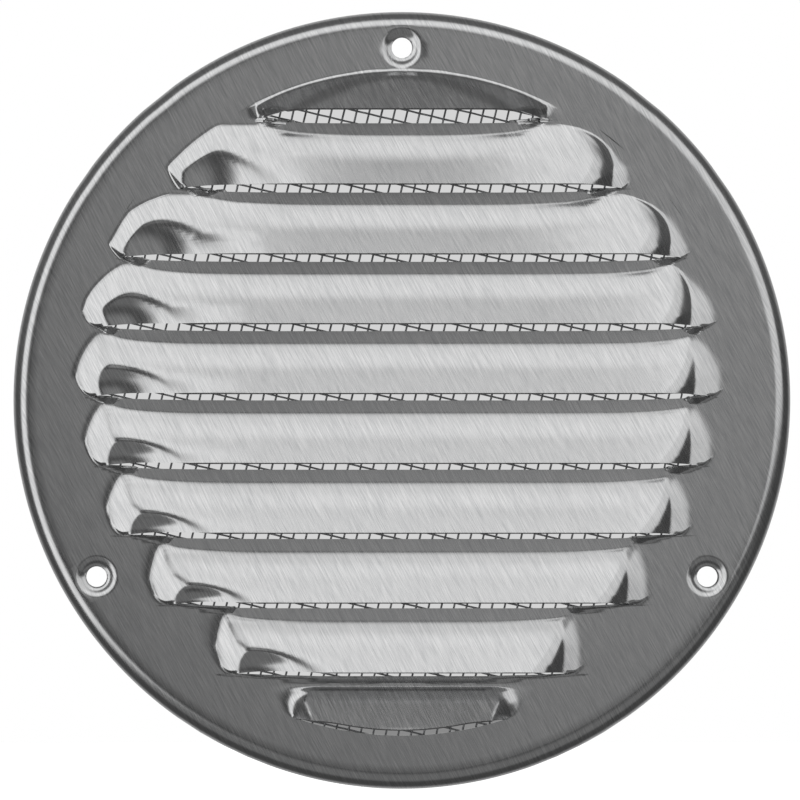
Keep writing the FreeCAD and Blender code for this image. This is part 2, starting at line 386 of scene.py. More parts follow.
def slit_turn(x, z, corner, above, top, inner):
    """The sheet's edge below a slit is turned forward at the louvre's corner, then fades to a thin line."""
    out = np.abs(x) - corner
    reach = min(above - corner, TURN_REACH)
    wedge = np.clip(TURN_FULL * np.minimum(1.0 + out / inner, 1.0 - out / reach), 0.0, 1.0)
    line = np.where(out > 0.0, TURN_LINE * np.clip((above - np.abs(x)) / TURN_FADE, 0.0, 1.0), 0.0)
    return TURN_SLOPE * np.maximum(TURN_TALL * np.maximum(wedge, line) - (top - z), 0.0)


print("the turned edge stands out", round(TURN_SLOPE * TURN_TALL, 2), "mm")

# %% [markdown]
# ## The eight straight louvres
# From its hinge the face slopes out to the lip, easily at first and then more steeply. At each end the
# sheet is the lower of that face and the end's own band. One function presses a whole band, so that every
# louvre is made in the same way and only its sizes differ.

# %% Slope of a face
STRIP_SLOPE = tan(4.0)
HINGE_ROUND = 0.6
FACE_EASY = tan(18.0)
FACE_EASY_RUN = 4.5
FACE_ROUND = 2.0
LIP_EASE = 0.6


def sloped_face(down, strip, reach):
    """Height of a face below its hinge: a level strip, an easy slope, then what brings it to the lip."""
    tilt = STRIP_SLOPE * strip / STRIP_WIDTH
    run = reach - strip
    more = (LIP_HEIGHT - LIP_EASE - tilt * strip - FACE_EASY * run) / (run - FACE_EASY_RUN)
    face = tilt * np.minimum(down, strip) + FACE_EASY * ramp(down - strip, HINGE_ROUND)
    return face + more * ramp(down - strip - FACE_EASY_RUN, FACE_ROUND)


lip = float(sloped_face(PITCH, STRIP_WIDTH, PITCH))
print("a face reaches", round(lip, 2), "mm at its lip")

# %% Press the straight louvres
STRIP = 2.2
LIFT = 0.8
TOP_WIDE = 36.2
TOP_CURL = 1.6
SLIT_ROOM, EDGE_ROOM = 0.45, 0.2
BAND_ROUND, ROOMY_ROUND, ROOMY_FROM = 0.85, 1.5, 5
LEFT_SHOULDER, RIGHT_SHOULDER = 1.6, 4.5
LEFT_CURL, RIGHT_CURL_SLOPE = 1.4, 1.0
CURL_ROUND, CURL_EDGE = 0.3, 0.5


def flange_edge(z):
    return np.sqrt(EDGE_R ** 2 - z ** 2)


def band_columns(row, outline, heights):
    """Column places of a straight band at each of its heights."""
    share = (heights - heights[0]) / (heights[-1] - heights[0])
    crease = outline.half_width(heights)
    edge = flange_edge(heights)
    slit_end = slit_half(row) + (slit_half(row - 1) - slit_half(row)) * share
    slit_end = np.clip(slit_end, crease + SLIT_ROOM * (edge - crease), edge - EDGE_ROOM * (edge - crease))
    slit_end[0], slit_end[-1] = slit_half(row), slit_half(row - 1)
    return np.stack([both_sides(half_columns(*place)) for place in zip(crease, slit_end, edge)])


def straight_band(row):
    outline, straight, leaning, right_foot = louvre_ends(row)
    above = louvre_ends(row - 1)[0].tip if row > 2 else TOP_WIDE - TOP_CURL
    top, bottom = slit_z(row - 1) + SAG, slit_z(row) + SAG
    heights = (top - BAND_ROWS * (top - bottom) / BAND_ROWS[-1])[::-1]
    x = band_columns(row, outline, heights)
    z = np.repeat(heights[:, None], x.shape[1], axis=1)
    down = top - z
    face = sloped_face(down, strip_width(x, outline.corner), top - bottom)
    rounding = BAND_ROUND if row < ROOMY_FROM else ROOMY_ROUND
    left_end = pocket_end(leaning.depth_inside(-x, z), outline.tip + x, z - bottom, *POCKETS[row], rounding)
    right_end = creased_end(straight.depth_inside(x, z), right_foot.depth_inside(x, z))
    left = x < 0
    height = np.where(left, lower_of(face, left_end, LEFT_SHOULDER),
                      lower_of(face, right_end, RIGHT_SHOULDER))
    depth = outline.depth_inside(np.abs(x), z)
    curl = np.where(left, LEFT_CURL, RIGHT_CURL_SLOPE) * ramp(depth, CURL_ROUND)
    below_widest = z < bottom + END_SHAPES[row][2]
    height = np.where(below_widest, lower_of(height, curl, CURL_EDGE), height)
    height += slit_turn(x, z, outline.corner, above, top, TURN_INNER)
    lift = mouth_lift(x, outline.tip, LIFT) * np.clip((down - STRIP) / (top - bottom - STRIP), 0, 1)
    return grid_piece("band", x, FLANGE_Y - height, z + lift - strip_sag(x, above, down))


bands = [straight_band(row) for row in range(2, ROWS)]
print("straight bands", len(bands), "vertices", sum(len(band.data.vertices) for band in bands))

# %% [markdown]
# ## The top louvre
# The highest louvre is a round segment, hinged on the arc of the field. Its grid therefore runs from a
# straight slit up to an arc, each column on its own straight line between them. The face stands steeper
# than the others, so it mirrors the dark beyond the light and looks nearly as grey as the flange.

# %% Lay the columns of the top louvre
TOP_POINTS = 200
TOP_ROWS = np.concatenate([np.linspace(0, 0.5, 9)[:-1],
                           0.5 + 0.5 * (1 - (1 - np.linspace(0, 1, 18)) ** 2)])
TOP_EDGE_ROWS = 4
TOP_CREASE_LOW, TOP_CREASE_HIGH = 0.5, 0.93
top_slit = slit_z(1) + SAG


def top_outline():
    turn = np.linspace(0.001, math.asin(TOP_WIDE / FIELD_R), TOP_POINTS)
    side = math.sqrt(FIELD_R ** 2 - TOP_WIDE ** 2)
    tip = TOP_WIDE - TOP_CURL
    return End(FIELD_R * np.stack([np.sin(turn), np.cos(turn)], axis=1),
               quarter((TOP_WIDE, side), (TOP_WIDE, top_slit), (tip, top_slit), ELLIPSE)[1:])


def top_places(end):
    """Places of the top grid's vertices, and how far up towards the hinge each one is."""
    chord = flange_edge(top_slit)
    low_x = both_sides(half_columns(end.tip, slit_half(1), chord))
    turn = low_x / chord * math.asin(chord / EDGE_R)
    low = np.stack([low_x, np.full_like(low_x, top_slit)])
    way = EDGE_R * np.stack([np.sin(turn), np.cos(turn)]) - low
    a, b, c = (way ** 2).sum(0), 2 * (low * way).sum(0), (low ** 2).sum(0) - FIELD_R ** 2
    crease = (-b + np.sqrt(np.maximum(b * b - 4 * a * c, 0))) / np.maximum(2 * a, 1e-9)
    crease = np.clip(crease, TOP_CREASE_LOW, TOP_CREASE_HIGH)
    beyond = crease + (1 - crease) * np.linspace(0, 1, TOP_EDGE_ROWS + 1)[1:, None]
    steps = np.concatenate([TOP_ROWS[:, None] * crease, beyond])
    return low[0] + way[0] * steps, low[1] + way[1] * steps, steps / crease


print("top louvre", 2 * TOP_WIDE, "mm wide at its slit", round(top_slit, 2))

# %% Press the top louvre
TOP_FACE_SLOPE = tan(33.0)
TOP_WALL_SLOPE = tan(44.0)
TOP_BAND_SLOPE = tan(22.0)
TOP_BAND = 0.9
TOP_BAND_ROUND = 0.4
TOP_LIFT = 2.0
TOP_LIFT_FADE = 1.5
TOP_HINGE = 0.6
TOP_HINGE_ROUND = 0.5
TOP_SHOULDER = 1.0


def top_band():
    end = top_outline()
    x, z, rise = top_places(end)
    depth = end.depth_inside(np.abs(x), z)
    wall = TOP_BAND_SLOPE * ramp(depth, TOP_BAND_ROUND)
    wall += (TOP_WALL_SLOPE - TOP_BAND_SLOPE) * ramp(depth - TOP_BAND, CREASE_ROUND)
    fade = np.clip((slit_half(1) - np.abs(x)) / TOP_LIFT_FADE, 0.0, 1.0)
    lift = mouth_lift(x, end.tip, TOP_LIFT) * np.clip(1.0 - rise, 0.0, 1.0) * fade
    face = TOP_FACE_SLOPE * ramp(FIELD_R + TOP_HINGE - z - lift, TOP_HINGE_ROUND)
    height = lower_of(face, wall, TOP_SHOULDER)
    return grid_piece("band", x, FLANGE_Y - height, z + lift)


bands.append(top_band())
print("top band vertices", len(bands[-1].data.vertices))

# %% [markdown]
# ## The bottom louvre
# The lowest louvre is hinged on a straight line and slit along an arc, so that its lip follows the rim.
# Its grid runs the other way round, from an arc up to a straight line. The face is steep, and only its
# lip is turned back into the light.

# %% Outlines of the bottom louvre
BOTTOM_HALF = 27.8
BOTTOM_CORNER = 20.0
BOTTOM_RISE = 3.4
BOTTOM_CURL = 1.4
BOTTOM_RUN = 11.0
BOTTOM_CLIMB = 7.3
BOTTOM_FULLNESS = 1.8
BOTTOM_DROP = 1.0
bottom_top = slit_z(ROWS - 1) + SAG


def bottom_ends():
    """The outline, and the crease at the foot of the steep walls inside it."""
    slit = -math.sqrt(EDGE_R ** 2 - BOTTOM_HALF ** 2)
    widest, tip, climb = slit + BOTTOM_RISE, BOTTOM_HALF - BOTTOM_CURL, slit + BOTTOM_CLIMB
    high = bottom_top - BOTTOM_DROP
    last = [[tip - 0.5, -EDGE_R - 1.0]]
    shoulder = quarter((BOTTOM_CORNER, high), (BOTTOM_HALF, high), (BOTTOM_HALF, widest), BOTTOM_FULLNESS)
    curl = quarter((BOTTOM_HALF, widest), (BOTTOM_HALF, slit), (tip, slit), ELLIPSE)[1:]
    outline = End(shoulder, curl, last)
    foot = End(quarter((tip - BOTTOM_RUN, climb), (tip, climb), (tip, slit), ELLIPSE), last)
    return outline, foot


print("bottom louvre", 2 * BOTTOM_HALF, "mm wide, hinged below", round(bottom_top, 2))

# %% Press the bottom louvre
BOTTOM_ROWS = 38
BOTTOM_WALL = tan(52.0)
BOTTOM_LIFT = 2.2
BOTTOM_HINGE = 2.9
BOTTOM_LIP = 12.9
BOTTOM_STEEP = tan(38.0)
BOTTOM_TURNED = tan(22.0)
BOTTOM_ROUND, BOTTOM_EDGE = 0.5, 0.4
LEAST_RUN = 0.1
FULL_LENGTH = 1000.0


def bottom_band():
    outline, foot = bottom_ends()
    above = louvre_ends(ROWS - 1)[0].tip
    chord = flange_edge(bottom_top)
    high_x = both_sides(half_columns(outline.corner, slit_half(ROWS - 1), chord))
    low_x = both_sides(half_columns(BOTTOM_HALF - BOTTOM_CURL, BOTTOM_HALF, chord))
    low_z = -np.sqrt(EDGE_R ** 2 - low_x ** 2)
    share = np.linspace(0, 1, BOTTOM_ROWS)[:, None]
    x = low_x + (high_x - low_x) * share
    z = low_z + (bottom_top - low_z) * share
    down = bottom_top - z
    run = np.maximum(np.maximum(bottom_top - low_z, LEAST_RUN) - BOTTOM_HINGE, LEAST_RUN)
    fall = np.clip((down - BOTTOM_HINGE) / run, 0.0, 1.0)
    lift = mouth_lift(x, outline.tip, BOTTOM_LIFT) * fall * (np.abs(low_x) < BOTTOM_HALF)
    face = BOTTOM_STEEP * ramp(down - lift - BOTTOM_HINGE, BOTTOM_ROUND)
    face += (BOTTOM_TURNED - BOTTOM_STEEP) * ramp(down - lift - BOTTOM_LIP, BOTTOM_ROUND)
    wall = LEFT_BAND * ramp(outline.depth_inside(np.abs(x), z), BOTTOM_ROUND)
    wall += (BOTTOM_WALL - LEFT_BAND) * ramp(foot.depth_inside(np.abs(x), z), BOTTOM_EDGE)
    height = lower_of(face, wall, BOTTOM_EDGE)
    height += slit_turn(x, z, outline.corner, above, bottom_top, FULL_LENGTH)
    return grid_piece("band", x, FLANGE_Y - height, z + lift - strip_sag(x, above, down))


bands.append(bottom_band())
print("bottom band vertices", len(bands[-1].data.vertices))

# %% [markdown]
# ## Flange and rolled rim
# Outside the louvres the plate is round and its edge is rolled back to the wall in a quarter round. A
# profile could be spun for it. A ring laid at the angles of the bands' own edge vertices does the same,
# and the two can then be sewn together without a seam.

# %% Lay the ring
RIM_BEND_R = 4.5
BEND_STEPS = 8
FLANGE_RINGS = 6
SLIT_STEPS = 80
ON_EDGE = 0.002
SLIT_END_ROOM = 0.01
SAME_ANGLE = 1e-5


def edge_angles():
    """Angles of the bands' vertices on their outer circle, clockwise, with the bottom slit's own steps."""
    places = np.concatenate([vertex_places(band) for band in bands]) / MM
    places = places[np.abs(np.hypot(places[:, 0], places[:, 2]) - EDGE_R) < ON_EDGE]
    found = np.arctan2(places[:, 2], places[:, 0])
    over_slit = (np.abs(np.cos(found) * EDGE_R) < BOTTOM_HALF - SLIT_END_ROOM) & (found < 0)
    along_slit = np.arcsin(np.linspace(-BOTTOM_HALF, BOTTOM_HALF, SLIT_STEPS) / EDGE_R) - math.pi / 2
    found = np.sort(np.concatenate([found[~over_slit], along_slit]))[::-1]
    return found[np.concatenate([[True], np.diff(found) < -SAME_ANGLE])]


def ring_piece():
    angles = edge_angles()
    angles = np.concatenate([angles, angles[:1] - 2 * math.pi])
    bend_start = RIM_R - RIM_BEND_R
    turn = np.linspace(0, math.pi / 2, BEND_STEPS + 1)[1:]
    flat = np.linspace(EDGE_R, bend_start, FLANGE_RINGS)
    radii = np.concatenate([flat, bend_start + RIM_BEND_R * np.sin(turn), [RIM_R]])
    depth = np.concatenate([np.zeros(FLANGE_RINGS), RIM_BEND_R * (1 - np.cos(turn)), [RIM_BACK - FLANGE_Y]])
    x = radii[:, None] * np.cos(angles)
    z = radii[:, None] * np.sin(angles)
    return grid_piece("ring", x, FLANGE_Y + np.repeat(depth[:, None], len(angles), axis=1), z)


ring = ring_piece()
print("ring vertices", len(ring.data.vertices))

# %% Sew the plate together
SEAM = 0.004
SLIVER = 0.001
bpy.ops.object.select_all(action="DESELECT")
for piece in bands:
    piece.select_set(True)
ring.select_set(True)
bpy.context.view_layer.objects.active = ring
bpy.ops.object.join()
plate = bpy.context.object
plate.name = "pressed_plate"
bpy.ops.object.mode_set(mode="EDIT")
bpy.ops.mesh.select_all(action="SELECT")
bpy.ops.mesh.remove_doubles(threshold=SEAM * MM)
bpy.ops.mesh.dissolve_degenerate(threshold=SLIVER * MM)
bpy.ops.object.mode_set(mode="OBJECT")
print("plate sheet", len(plate.data.vertices), "vertices", len(plate.data.polygons), "faces")

# %% [markdown]
# ## Dimpled screw holes
# Each hole sits in a shallow pressed dimple, so that a screw head lies below the flange. A boolean could
# cut the hole, but it would leave long thin faces. Here the faces round it are subdivided, pressed back
# by a rounded profile, and those inside the hole are taken out. The edge that is left is pulled onto a
# true circle.

# %% Select faces near a hole
HOLE_CIRCLE_R = 85.85
HOLE_TURNS = (90, 210, 330)
HOLE_PLACES = [(HOLE_CIRCLE_R * math.cos(turn), HOLE_CIRCLE_R * math.sin(turn))
               for turn in (math.radians(degrees) for degrees in HOLE_TURNS)]


def from_hole(places, hole):
    return np.hypot(places[:, 0] - hole[0], places[:, 2] - hole[1])


def select_near(piece, hole, radius):
    """Selects the faces whose centres lie within a radius of a hole, and only those, in edit mode."""
    centres = np.empty(len(piece.data.polygons) * 3, dtype=np.float32)
    piece.data.polygons.foreach_get("center", centres)
    chosen = from_hole(centres.reshape(-1, 3).astype(float) / MM, hole) < radius
    bpy.ops.object.mode_set(mode="EDIT")
    bpy.ops.mesh.select_mode(type="FACE")
    bpy.ops.mesh.select_all(action="DESELECT")
    bpy.ops.object.mode_set(mode="OBJECT")
    piece.data.polygons.foreach_set("select", chosen)
    bpy.ops.object.mode_set(mode="EDIT")


def place_vertices(piece, places):
    piece.data.vertices.foreach_set("co", (places * MM).astype(np.float32).ravel())
    piece.data.update()


print("holes at", [(round(x, 1), round(z, 1)) for x, z in HOLE_PLACES])

# %% Press the dimples and open the holes
HOLE_R = 2.5
HOLE_TRIM = 0.1
DIMPLE_R, DIMPLE_FLOOR_R = 4.5, 3.0
DIMPLE_ROUND, FLOOR_ROUND = 0.9, 0.5
DIMPLE_DEPTH = 1.2
PRESSED_R = DIMPLE_R + 1.3


def press_dimple(piece, hole):
    select_near(piece, hole, PRESSED_R)
    bpy.ops.mesh.subdivide(number_cuts=3)
    bpy.ops.object.mode_set(mode="OBJECT")
    places = vertex_places(piece).astype(float) / MM
    away = from_hole(places, hole)
    slope = DIMPLE_DEPTH / (DIMPLE_R - DIMPLE_FLOOR_R)
    depth = slope * (ramp(DIMPLE_R - away, DIMPLE_ROUND) - ramp(DIMPLE_FLOOR_R - away, FLOOR_ROUND))
    places[:, 1] += np.where(away < PRESSED_R, depth, 0.0)
    place_vertices(piece, places)


def open_hole(piece, hole):
    select_near(piece, hole, HOLE_R - HOLE_TRIM)
    bpy.ops.mesh.delete(type="FACE")
    bpy.ops.object.mode_set(mode="OBJECT")
    edge_use = {}
    for face in piece.data.polygons:
        for key in face.edge_keys:
            edge_use[key] = edge_use.get(key, 0) + 1
    places = vertex_places(piece).astype(float) / MM
    away = from_hole(places, hole)
    open_edges = [key for key, uses in edge_use.items() if uses == 1]
    rim = sorted({corner for key in open_edges for corner in key if away[list(key)].max() < DIMPLE_FLOOR_R})
    pull = HOLE_R / away[rim]
    places[rim, 0] = hole[0] + (places[rim, 0] - hole[0]) * pull
    places[rim, 2] = hole[1] + (places[rim, 2] - hole[1]) * pull
    place_vertices(piece, places)


for hole in HOLE_PLACES:
    press_dimple(plate, hole)
    open_hole(plate, hole)
print("plate with holes", len(plate.data.vertices), "vertices")

# %% [markdown]
# ## Thickness of the sheet
# So far the plate is a skin. The real sheet is six tenths of a millimetre thick, and its edge shows in
# the slits and the holes. Extruding the skin would do, but Solidify keeps the wall even round every bend.

# %% Give the sheet its thickness
SMOOTH_BELOW = math.radians(38)
bpy.ops.object.select_all(action="DESELECT")
plate.select_set(True)
bpy.context.view_layer.objects.active = plate
wall = plate.modifiers.new("sheet thickness", "SOLIDIFY")
wall.thickness = SHEET * MM
wall.offset = -1.0
bpy.ops.object.modifier_apply(modifier=wall.name)
bpy.ops.object.shade_smooth_by_angle(angle=SMOOTH_BELOW)
print("finished plate triangles", triangles(plate))

# %% [markdown]
# ## Insect screen
# The screen is a plain weave: upright wires pass over and under level ones, three millimetres apart. It
# was cut round and laid in askew. A picture of a mesh on a disc would look flat in the slits. So each
# wire is a poly curve that waves by half its thickness at every crossing, given a round section and
# turned to a mesh.

# %% Path of one wire
WIRE = 0.5
MESH_PITCH = 3.0
WIRE_STEPS = 4
SCREEN_R = screen_high.x
SCREEN_TURN = math.radians(13.4)
SCREEN_Y = (screen_low.y + screen_high.y) / 2
HOLE_CLEAR = DIMPLE_R + SHEET + 0.5


def wire_points(number, upright):
    """Points of one wire, in the weave's own directions turned to the plate's, clear of the screw holes."""
    offset = number * MESH_PITCH
    reach = math.sqrt(max((SCREEN_R - WIRE / 2) ** 2 - offset ** 2, 0.0))
    count = int(2 * reach / MESH_PITCH * WIRE_STEPS)
    if count < 2:
        return []
    along = np.linspace(-reach, reach, count + 1)
    side = 1.0 if (number % 2 == 0) == upright else -1.0
    y = SCREEN_Y + side * WIRE / 2 * np.cos(math.pi * along / MESH_PITCH)
    across = np.full_like(along, offset)
    a, b = (across, along) if upright else (along, across)
    x = a * math.cos(SCREEN_TURN) + b * math.sin(SCREEN_TURN)
    z = b * math.cos(SCREEN_TURN) - a * math.sin(SCREEN_TURN)
    clear = np.ones(len(x), dtype=bool)
    for hole in HOLE_PLACES:
        clear &= np.hypot(x - hole[0], z - hole[1]) > HOLE_CLEAR
    return np.stack([x, y, z], axis=1)[clear]


print("the middle wire has", len(wire_points(0, True)), "points")

# %% Weave the screen
def weave(name, upright):
    curve = bpy.data.curves.new(name, "CURVE")
    curve.dimensions = "3D"
    curve.bevel_depth = WIRE / 2 * MM
    curve.bevel_resolution = 1
    curve.use_fill_caps = True
    most = int(SCREEN_R // MESH_PITCH)
    for number in range(-most, most + 1):
        points = wire_points(number, upright)
        if len(points) < 3:
            continue
        wire = curve.splines.new("POLY")
        wire.points.add(len(points) - 1)
        flat = np.concatenate([points * MM, np.ones((len(points), 1))], axis=1)
        wire.points.foreach_set("co", flat.ravel())
        wire.use_smooth = True
    piece = bpy.data.objects.new(name, curve)
    bpy.context.collection.objects.link(piece)
    bpy.ops.object.select_all(action="DESELECT")
    piece.select_set(True)
    bpy.context.view_layer.objects.active = piece
    bpy.ops.object.convert(target="MESH")
    piece = bpy.context.object
    print(name, "triangles", triangles(piece))
    return piece


upright_wires = weave("upright_wires", True)
level_wires = weave("level_wires", False)

# %% [markdown]
# ## Metals
# Colours are given as sRGB hex values, as one reads them off a picture, and turned to the linear values
# that shaders work in. One small function adds a node with its settings and links.

# %% Helpers for materials
def linear(hex_colour):
    values = [int(hex_colour[i:i + 2], 16) / 255 for i in (1, 3, 5)]
    return [v / 12.92 if v <= 0.04045 else ((v + 0.055) / 1.055) ** 2.4 for v in values] + [1.0]


def add(tree, kind, settings=None, links=None):
    node = tree.nodes.new(kind)
    for name, value in (settings or {}).items():
        if isinstance(name, str) and hasattr(node, name):
            setattr(node, name, value)
        else:
            node.inputs[name].default_value = value
    for name, source in (links or {}).items():
        tree.links.new(source, node.inputs[name])
    return node


def new_material(name):
    material = bpy.data.materials.new(name)
    material.use_nodes = True
    material.node_tree.nodes.clear()
    return material, material.node_tree


print("mid grey #808080 is", round(linear("#808080")[0], 3), "linear")

# %% [markdown]
# ### Brushed stainless sheet
# The coil was brushed with a belt before pressing, so fine parallel scratches run across the whole plate
# at one angle, whatever the louvres do. To the eye they blur what the metal mirrors and break it into
# streaks. A noise stretched along that direction gives them: it tilts the surface a little, and changes
# its gloss and shade from streak to streak. Real scratches are far finer, and are drawn a quarter of a
# millimetre wide so that they show.

# %% Brushed stainless
GRAIN_ANGLE = math.radians(28.0)
SCRATCH_LENGTH = 6.0
SCRATCH_WIDTH = 0.25
CLOUD_SIZE = 18.0


def brushed_stainless():
    material, tree = new_material("brushed stainless sheet")
    place = add(tree, "ShaderNodeTexCoord")
    turned = add(tree, "ShaderNodeMapping", {"Rotation": (0.0, GRAIN_ANGLE, 0.0)},
                 {"Vector": place.outputs["Object"]})
    scale = [1 / (size * MM) for size in (SCRATCH_WIDTH, SCRATCH_LENGTH, SCRATCH_LENGTH)]
    streaks = add(tree, "ShaderNodeMapping", {"Scale": scale}, {"Vector": turned.outputs["Vector"]})
    scratch = add(tree, "ShaderNodeTexNoise", {"Scale": 1.0, "Detail": 4.0, "Roughness": 0.65},
                  {"Vector": streaks.outputs["Vector"]})
    cloud = add(tree, "ShaderNodeTexNoise", {"Scale": 1 / (CLOUD_SIZE * MM), "Detail": 2.0},
                {"Vector": place.outputs["Object"]})
    gloss = add(tree, "ShaderNodeMapRange",
                {"From Min": 0.25, "From Max": 0.75, "To Min": 0.17, "To Max": 0.25},
                {"Value": scratch.outputs["Fac"]})
    shade = add(tree, "ShaderNodeMapRange", {"From Min": 0.3, "From Max": 0.7, "To Min": 0.0, "To Max": 1.0},
                {"Value": scratch.outputs["Fac"]})
    colour = add(tree, "ShaderNodeMix", {"data_type": "RGBA", 6: linear("#b2b3b4"), 7: linear("#dcdcdc")},
                 {0: shade.outputs["Result"]})
    bump = add(tree, "ShaderNodeBump", {"Strength": 0.08, "Distance": 0.02 * MM},
               {"Height": scratch.outputs["Fac"]})
    soft = add(tree, "ShaderNodeBump", {"Strength": 0.05, "Distance": 0.2 * MM},
               {"Height": cloud.outputs["Fac"], "Normal": bump.outputs["Normal"]})
    steel = add(tree, "ShaderNodeBsdfPrincipled", {"Metallic": 1.0},
                {"Base Color": colour.outputs[2], "Roughness": gloss.outputs["Result"],
                 "Normal": soft.outputs["Normal"]})
    add(tree, "ShaderNodeOutputMaterial", links={"Surface": steel.outputs["BSDF"]})
    return material


stainless = brushed_stainless()
print(stainless.name, "nodes", len(stainless.node_tree.nodes))

# %% [markdown]
# ### Drawn steel wire
# The screen's wire is pulled through a die and left as it comes, so it is duller than the sheet and a
# little uneven along its length. A soft noise a few millimetres across shifts its grey and its roughness.
# To the eye the wires stay thin and dark against the light behind them.

# %% Drawn steel wire
DULL_SIZE = 4.0


def drawn_wire():
    material, tree = new_material("drawn steel wire")
    place = add(tree, "ShaderNodeTexCoord")
    dull = add(tree, "ShaderNodeTexNoise", {"Scale": 1 / (DULL_SIZE * MM), "Detail": 3.0},
               {"Vector": place.outputs["Object"]})
    colour = add(tree, "ShaderNodeMix", {"data_type": "RGBA", 6: linear("#98999b"), 7: linear("#b4b5b6")},
                 {0: dull.outputs["Fac"]})
    rough = add(tree, "ShaderNodeMapRange", {"To Min": 0.38, "To Max": 0.55}, {"Value": dull.outputs["Fac"]})
    wire = add(tree, "ShaderNodeBsdfPrincipled", {"Metallic": 1.0},
               {"Base Color": colour.outputs[2], "Roughness": rough.outputs["Result"]})
    add(tree, "ShaderNodeOutputMaterial", links={"Surface": wire.outputs["BSDF"]})
    return material


wire_steel = drawn_wire()
print(wire_steel.name, "nodes", len(wire_steel.node_tree.nodes))

# %% [markdown]
# ## Dressing
# Nothing on the cover moves, so every piece rides on the one body. The pressed plate stands in for the
# packed plate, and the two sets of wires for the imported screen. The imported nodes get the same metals, so
# that they look right wherever they are shown.

# %% Dress the pieces
for piece, material, node, slot in ((plate, stainless, "louvre_plate", "stainless_sheet"),
                                    (upright_wires, wire_steel, "insect_screen", "screen_wire"),
                                    (level_wires, wire_steel, "insect_screen", "screen_wire")):
    piece.data.materials.clear()
    piece.data.materials.append(material)
    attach(piece, "root")
    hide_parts(node)
for name, material in (("louvre_plate", stainless), ("insect_screen", wire_steel)):
    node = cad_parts[name]
    node.data.materials.clear()
    node.data.materials.append(material)
print("dressed", plate.name, upright_wires.name, level_wires.name)

# %% [markdown]
# ## Floor and camera
# The cover stands on a plain pale floor that runs forward under the camera. The floor gives off a little
# light of its own so that it stays as white as paper, and the steel doesn't mirror it. The camera looks
# straight on from about three quarters of a metre, and its lens is worked out from how wide the plate
# should be in the picture.

# %% Lay the floor
FLOOR_SIZE = 12.0
FLOOR_BACK = 0.1
bpy.ops.object.select_all(action="DESELECT")
bpy.ops.mesh.primitive_plane_add(size=FLOOR_SIZE, location=(0, FLOOR_BACK - FLOOR_SIZE / 2, -RIM_R * MM))
floor = bpy.context.object
floor.name = "floor"
floor.visible_glossy = False
pale, tree = new_material("pale floor")
paper = add(tree, "ShaderNodeBsdfPrincipled",
            {"Base Color": linear("#f2f2f2"), "Roughness": 0.9, "Emission Color": linear("#ffffff"),
             "Emission Strength": 1.0})
add(tree, "ShaderNodeOutputMaterial", links={"Surface": paper.outputs["BSDF"]})
floor.data.materials.append(pale)
print("floor at z", round(floor.location.z, 4))

# %% Place the camera
CAMERA_AWAY = 0.735
SENSOR = 36.0
FRAME_PIXELS = 800
PLATE_PIXELS = 387.5
lens_pixels = PLATE_PIXELS * (CAMERA_AWAY + RIM_BACK * MM) / (RIM_R * MM)
camera = bpy.data.objects.new("camera", bpy.data.cameras.new("camera"))
camera.data.sensor_width = SENSOR
camera.data.lens = SENSOR * lens_pixels / FRAME_PIXELS
camera.location = (-0.00046, -CAMERA_AWAY, 0.0001)
camera.rotation_euler = (math.pi / 2, 0, 0)
bpy.context.collection.objects.link(camera)
bpy.context.scene.camera = camera
print("lens", round(camera.data.lens, 1), "mm")

# %% [markdown]
# ## Studio light
# Steel shows its surroundings, so the light matters more than the metal. The faces of the louvres mirror
# a broad ring of soft light round the camera, brighter on the left. The flange mirrors a small dim panel
# close to the camera, and the creases mirror the dark between the two. Lamps could be set up for all
# this. A world made of a few soft-edged patches is simpler, because each patch is only a direction, its
# edges and a strength.

# %% Hang the overhead box
BOX_TURN, BOX_TILT = math.radians(-8), math.radians(47)
BOX_AWAY = 1.5
lamp = bpy.data.lights.new("overhead box", "AREA")
lamp.shape = "RECTANGLE"
lamp.size = 1.6
lamp.size_y = 0.6
lamp.energy = 0.6
overhead = bpy.data.objects.new("overhead box", lamp)
overhead.location = (BOX_AWAY * math.cos(BOX_TILT) * math.sin(BOX_TURN),
                     -BOX_AWAY * math.cos(BOX_TILT) * math.cos(BOX_TURN), BOX_AWAY * math.sin(BOX_TILT))
overhead.rotation_euler = (math.pi / 2 - BOX_TILT, 0, BOX_TURN)
bpy.context.collection.objects.link(overhead)
print("overhead box at", [round(v, 2) for v in overhead.location])

# %% Patches of light
def off_axis(degrees):
    return math.cos(math.radians(degrees))


# Each patch has a strength and its soft edges: a direction, and where along it the light starts and is
# full.
AHEAD, BEHIND, UP, DOWN, LEFT = (0, -1, 0), (0, 1, 0), (0, 0, 1), (0, 0, -1), (-1, 0, 0)
RING_EDGES = [(AHEAD, off_axis(69), off_axis(62)), ((-0.1, -0.995, 0.0), off_axis(22), off_axis(30)),
              ((-0.3, 0.0, 0.95), -0.36, -0.22)]
PATCHES = {"soft ring": (0.82, RING_EDGES),
           "brighter left of the ring": (0.287, RING_EDGES + [(LEFT, 0.35, 0.7)]),
           "panel by the camera": (0.27, [((0.06, -0.997, 0.05), off_axis(18), off_axis(5))]),
           "glow at the side": (0.02, [(AHEAD, off_axis(57), off_axis(68)), ((-0.7, 0.0, 0.7), -0.3, 0.6)]),
           "ceiling": (0.04, [(UP, 0.05, 0.3)]),
           "bounce from below": (0.13, [(DOWN, 0.28, 0.45), (AHEAD, 0.3, 0.5)]),
           "light behind the plate": (0.38, [(BEHIND, 0.3, 0.8)])}
ROOM_LIGHT = 0.08
print("patches", ", ".join(PATCHES))

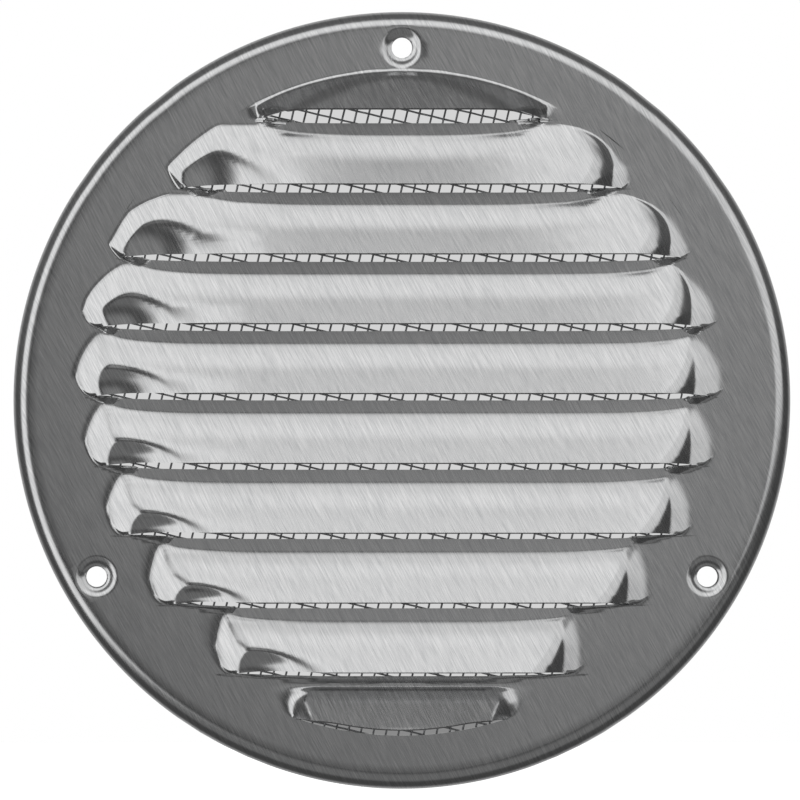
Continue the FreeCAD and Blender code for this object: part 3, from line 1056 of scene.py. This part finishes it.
# %% Add up the patches
world = bpy.data.worlds.new("studio")
bpy.context.scene.world = world
world.use_nodes = True
tree = world.node_tree
tree.nodes.clear()
look = add(tree, "ShaderNodeTexCoord").outputs["Generated"]
radiance = add(tree, "ShaderNodeValue").outputs["Value"]
radiance.default_value = ROOM_LIGHT
for strength, edges in PATCHES.values():
    share = None
    for direction, start, full in edges:
        along = add(tree, "ShaderNodeVectorMath", {"operation": "DOT_PRODUCT", 1: direction}, {0: look})
        edge = add(tree, "ShaderNodeMapRange",
                   {"interpolation_type": "SMOOTHSTEP", "From Min": start, "From Max": full},
                   {"Value": along.outputs["Value"]}).outputs["Result"]
        if share is not None:
            edge = add(tree, "ShaderNodeMath", {"operation": "MULTIPLY"},
                       {0: share, 1: edge}).outputs["Value"]
        share = edge
    radiance = add(tree, "ShaderNodeMath", {"operation": "MULTIPLY_ADD", 1: strength},
                   {0: share, 2: radiance}).outputs["Value"]
print("light nodes", len(tree.nodes))

# %% [markdown]
# ## Backdrop
# The backdrop is white, but grey shows through the screen, darker in the lowest slit. So the camera
# sees a white backdrop with a pale round card right behind the plate, a painted shadow of the plate on
# the wall, and a darker patch at the card's foot, painted deeper shade. The metal never mirrors these:
# they are mixed in for the camera alone.

# %% Hang the backdrop and its painted shadow
# The grey disc behind the plate is painted shadow: it stands for the plate's shade on the wall.
SHADOW_CARD_ANGLE = 6.43
SHADE_FOOT_BELOW = -0.1
back = add(tree, "ShaderNodeVectorMath", {"operation": "DOT_PRODUCT", 1: BEHIND}, {0: look})
rise = add(tree, "ShaderNodeVectorMath", {"operation": "DOT_PRODUCT", 1: UP}, {0: look})
shadow_card = add(tree, "ShaderNodeMath", {"operation": "GREATER_THAN", 1: off_axis(SHADOW_CARD_ANGLE)},
           {0: back.outputs["Value"]})
under = add(tree, "ShaderNodeMath", {"operation": "LESS_THAN", 1: SHADE_FOOT_BELOW}, {0: rise.outputs["Value"]})
foot = add(tree, "ShaderNodeMath", {"operation": "MULTIPLY"},
           {0: shadow_card.outputs["Value"], 1: under.outputs["Value"]})
# Painted shadow: white outside, pale grey inside the disc behind the plate.
paper = add(tree, "ShaderNodeMix", {"data_type": "RGBA", 6: linear("#ffffff"), 7: linear("#d4d4d4")},
            {0: shadow_card.outputs["Value"]})
# Painted shade: a darker grey at the foot of the disc, seen through the lowest slit.
paper = add(tree, "ShaderNodeMix", {"data_type": "RGBA", 7: linear("#8a8a8a")},
            {0: foot.outputs["Value"], 6: paper.outputs[2]})
backdrop_and_painted_shadow = add(tree, "ShaderNodeBackground", {"Strength": 1.0}, {"Color": paper.outputs[2]})
tent = add(tree, "ShaderNodeBackground", {"Color": linear("#ffffff")}, {"Strength": radiance})
seen = add(tree, "ShaderNodeLightPath")
sky = add(tree, "ShaderNodeMixShader",
          links={0: seen.outputs["Is Camera Ray"], 1: tent.outputs[0], 2: backdrop_and_painted_shadow.outputs[0]})
add(tree, "ShaderNodeOutputWorld", links={"Surface": sky.outputs[0]})
bpy.context.scene.view_settings.view_transform = "Standard"
print("world nodes", len(tree.nodes))
